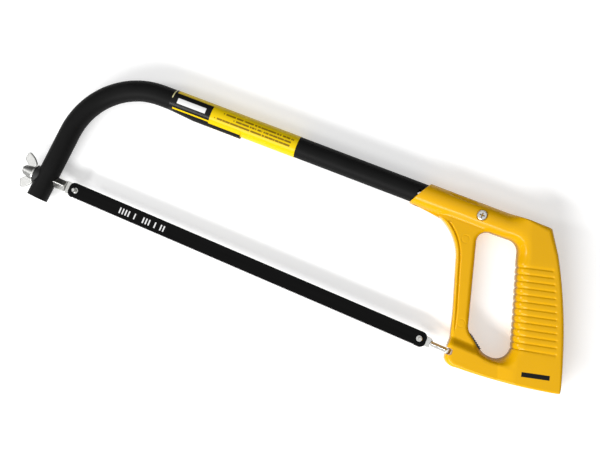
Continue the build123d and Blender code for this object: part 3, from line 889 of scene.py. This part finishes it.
# ---------------------------------------------------------------- fittings
def softened(node, name, voxel, rounds):
    """Evenly meshed copy of a CAD node, with its hard edges worn round."""
    piece = remeshed(node, name, voxel)
    points, edges = read_points(piece.data)
    points = smoothed(points, edges, np.ones(len(points)), rounds)
    write_points(piece.data, points)
    return piece


def threaded(piece, start_x, end_x, outer, depth, pitch):
    """Turn the round tail of a bolt into a thread, between two places along the saw."""
    points, _ = read_points(piece.data)
    angle = np.arctan2(points[:, 2], points[:, 1])
    radius = np.hypot(points[:, 1], points[:, 2])
    phase = (points[:, 0] / pitch + angle / (2.0 * math.pi)) % 1.0
    ridge = 1.0 - np.abs(2.0 * phase - 1.0) * 2.0
    inside = step(points[:, 0], end_x, end_x + 0.5) * step(-points[:, 0], -start_x, -start_x + 0.5)
    change = depth * (ridge - 1.0) * 0.5 * inside * step(radius, outer - 0.6, outer - 0.2)
    points[:, 1] += np.cos(angle) * change
    points[:, 2] += np.sin(angle) * change
    write_points(piece.data, points)


def stand_for(piece, node, body, graph):
    """Let a piece stand for one CAD node."""
    dress(piece, graph)
    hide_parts(node)
    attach(piece, body)


stand_for(cast_handle(), "handle_casting", "frame", yellow_paint())
zinc = bright_zinc("bright_zinc_plate")
stand_for(blade(), "saw_blade", "blade", blade_enamel())
stand_for(softened("wing_nut", "wing_nut_cast", 0.24, 12), "wing_nut", "wing", cast_zinc())
bolt = softened("tension_bolt", "tension_bolt_forged", 0.24, 10)
threaded(bolt, THREAD_START_X, THREAD_END_X, THREAD_RADIUS, THREAD_DEPTH, THREAD_PITCH)
stand_for(bolt, "tension_bolt", "tensioner", zinc)
stand_for(softened("rear_blade_link", "rear_link_forged", 0.18, 8), "rear_blade_link", "frame", zinc)
stand_for(softened("corner_pad", "corner_pad_moulded", 0.2, 3), "corner_pad", "frame", dark_rubber())

coat = black_coat()
for node in ("front_bow_tube", "rear_frame_tube"):
    dress(frame["nodes"][node], coat)
dress(frame["nodes"]["frame_label"], label_film())
dress(frame["nodes"]["retaining_screw"], screw_zinc())
for node in ("retaining_nut", "front_blade_pin", "plain_washer", "rear_blade_pin",
             "link_cross_pin"):
    dress(frame["nodes"][node], zinc)
dress(frame["nodes"]["saddle_washer"], dark_rubber("black_saddle", (0.012, 0.012, 0.012)))


# ---------------------------------------------------------------- studio
# The camera leans by these degrees to +X and +Y, looks at a point of the saw, and rolls
CAMERA_TILT = (7.0, -3.0)
CAMERA_TARGET = (180.61, 43.38)
CAMERA_DISTANCE = 750.0
CAMERA_ROLL = math.radians(23.222)
FOCAL_PIXELS = 948.84
FRAME_PIXELS = 600
# Metres
FLOOR_HALF_SIZE = 60.0
KEY_PLACE = Vector((-0.14, -0.82, 0.66))
SIDE_PLACE = Vector((-0.86, -0.26, 0.52))
LIGHT_TARGET = (230, 50)
# Strength of the sky at the sides and straight overhead
SIDE_GLOW = 0.03
TOP_GLOW = 0.8


def studio_camera():
    """Camera at the photograph's angle."""
    back = Vector((math.sin(math.radians(CAMERA_TILT[0])), math.sin(math.radians(CAMERA_TILT[1])), 0.0))
    back.z = math.sqrt(1.0 - back.x ** 2 - back.y ** 2)
    up = (Vector((0, 1, 0)) - back * back.y).normalized()
    right = up.cross(back)
    cos, sin = math.cos(CAMERA_ROLL), math.sin(CAMERA_ROLL)
    turned_right = right * cos + up * sin
    turned_up = up * cos - right * sin
    data = bpy.data.cameras.new("camera")
    data.sensor_width = 36.0
    data.lens = FOCAL_PIXELS * data.sensor_width / FRAME_PIXELS
    data.clip_start = 0.01
    camera = bpy.data.objects.new("camera", data)
    bpy.context.scene.collection.objects.link(camera)
    place = at(*CAMERA_TARGET) + back * CAMERA_DISTANCE * MM
    turn = Matrix((turned_right, turned_up, back)).transposed()
    camera.matrix_world = Matrix.Translation(place) @ turn.to_4x4()
    bpy.context.scene.camera = camera
    return camera


def studio_floor():
    """Plain pale floor that runs far past the view."""
    half = FLOOR_HALF_SIZE
    mesh = bpy.data.meshes.new("floor")
    corners = [(-half, -half, 0), (half, -half, 0), (half, half, 0), (-half, half, 0)]
    mesh.from_pydata(corners, [], [(0, 1, 2, 3)])
    floor = new_object("floor", mesh)
    graph = Graph("pale_floor", roughness=0.9)
    cloud = graph.noise(3.0, 2.0, 0.5)
    graph.colour(graph.mix(cloud, (0.8, 0.8, 0.8), (0.82, 0.82, 0.82)))
    graph.shader.inputs["Emission Color"].default_value = (1, 1, 1, 1)
    graph.shader.inputs["Emission Strength"].default_value = 0.4
    dress(floor, graph)


def soft_light(name, place, size, power, target):
    """Rectangular lamp that faces a target."""
    data = bpy.data.lights.new(name, "AREA")
    data.shape = "RECTANGLE"
    data.size, data.size_y = size
    data.energy = power
    lamp = bpy.data.objects.new(name, data)
    bpy.context.scene.collection.objects.link(lamp)
    lamp.location = place
    lamp.rotation_euler = (Vector(target) - Vector(place)).to_track_quat("-Z", "Y").to_euler()


def studio_sky():
    """Bright panel straight overhead that fades to a dark room at the sides."""
    world = bpy.data.worlds.new("studio")
    world.use_nodes = True
    nodes, links = world.node_tree.nodes, world.node_tree.links
    split = nodes.new("ShaderNodeSeparateXYZ")
    links.new(nodes.new("ShaderNodeTexCoord").outputs["Generated"], split.inputs[0])
    fade = nodes.new("ShaderNodeMapRange")
    fade.interpolation_type = "SMOOTHSTEP"
    links.new(split.outputs["Z"], fade.inputs["Value"])
    limits = (("From Min", 0.55), ("From Max", 0.97), ("To Min", SIDE_GLOW), ("To Max", TOP_GLOW))
    for name, value in limits:
        fade.inputs[name].default_value = value
    nodes["Background"].inputs["Color"].default_value = (1, 1, 1, 1)
    links.new(fade.outputs["Result"], nodes["Background"].inputs["Strength"])
    bpy.context.scene.world = world


def studio_light():
    """Sky, a long key panel and a small side panel."""
    studio_sky()
    centre = at(*LIGHT_TARGET)
    soft_light("key", centre + KEY_PLACE, (1.0, 0.2), 12.0, centre)
    soft_light("side", centre + SIDE_PLACE, (0.16, 0.08), 2.6, centre)
    bpy.context.scene.view_settings.view_transform = "Standard"


studio_camera()
studio_floor()
studio_light()
